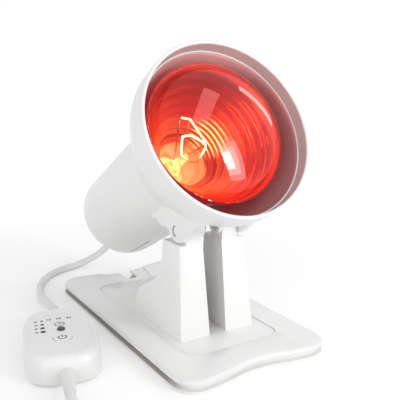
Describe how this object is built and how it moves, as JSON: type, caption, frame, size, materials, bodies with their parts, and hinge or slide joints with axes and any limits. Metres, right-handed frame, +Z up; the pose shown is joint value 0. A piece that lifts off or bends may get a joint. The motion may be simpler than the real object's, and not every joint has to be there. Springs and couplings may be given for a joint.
{
  "type": "infrared heat therapy lamp",
  "caption": "White tilting infrared heat lamp with a red reflector bulb in a bell shade, on two legs over a flat base, with an in-line timer controller on its mains cord",
  "frame": {"origin": "centre of the underside of the base, on the surface it stands on", "axes": "+X to the lamp's left as it faces the user (the right of the front view), +Y to the rear, the lamp faces -Y, +Z up"},
  "size_m": [0.2886, 0.3283, 0.2035],
  "materials": {
    "white_gloss": "smooth white moulded plastic",
    "grey_plastic": "grey moulded plastic of the tray",
    "white_cord": "white cord sheath",
    "black_rubber": "black rubber",
    "black_plastic": "black plastic",
    "steel": "plated steel",
    "brass": "brass",
    "reflector": "satin aluminium",
    "red_glass": "clear red glass",
    "clear_glass": "clear glass",
    "bulb_mirror": "mirrored inside of the bulb under red lacquer",
    "ceramic": "glazed ceramic",
    "tungsten": "glowing filament",
    "board_green": "circuit board",
    "light_green": "light pipes"
  },
  "bodies": {
    "stand": {"base_cover": "white_gloss", "base_tray": "grey_plastic", "ballast_plate": "steel", "foot_pads": "black_rubber", "base_screws": "steel", "foot_panel": "white_gloss", "leg_left": "white_gloss", "leg_right": "white_gloss", "leg_screws": "steel", "pivot_bolts": "steel", "pivot_nuts": "steel", "friction_washers": "black_rubber", "controller_base": "white_gloss", "controller_cover": "white_gloss", "circuit_board": "board_green", "board_parts": "black_plastic", "power_switch": "black_plastic", "timer_switch": "black_plastic", "light_pipes": "light_green", "controller_screws": "steel", "relief_upper": "white_cord", "relief_lower": "white_cord", "cord_drop": "white_cord", "cord_run": "white_cord", "cord_lead": "white_cord", "cord_coil": "white_cord", "cord_end": "white_cord", "cord_tie": "black_rubber", "plug_body": "white_gloss", "plug_pins": "brass"},
    "head": {"shade": "white_gloss", "heat_shield": "reflector", "tail_housing": "white_gloss", "tilt_bracket": "white_gloss", "bracket_screws": "steel", "pivot_caps": "white_gloss", "socket_body": "ceramic", "socket_shell": "brass", "centre_contact": "brass", "socket_plate": "steel", "socket_screws": "steel", "bulb_lens": "red_glass", "bulb_reflector": "bulb_mirror", "bulb_cap": "steel", "cap_insulator": "clear_glass", "cap_contact": "steel", "glass_stem": "clear_glass", "lead_wires": "steel", "filament": "tungsten", "filament_supports": "steel", "cord_clamp": "black_plastic", "supply_wires": "black_plastic", "head_relief": "white_cord"},
    "power_button": {"power_button": "white_gloss"},
    "timer_button": {"timer_button": "black_plastic"}
  },
  "joints": [
    {"name": "tilt", "type": "hinge", "parent": "stand", "child": "head", "pos_m": [0, -0.0395, 0.081], "axis": [1, 0, 0], "range_deg": [-4, 30]},
    {"name": "power_press", "type": "slide", "parent": "stand", "child": "power_button", "axis": [0, 0, -1], "range_m": [0, 0.0006], "stiffness_N_per_m": 800, "springref_m": -0.0002},
    {"name": "timer_press", "type": "slide", "parent": "stand", "child": "timer_button", "axis": [0, 0, -1], "range_m": [0, 0.0006], "stiffness_N_per_m": 800, "springref_m": -0.0002}
  ]
}
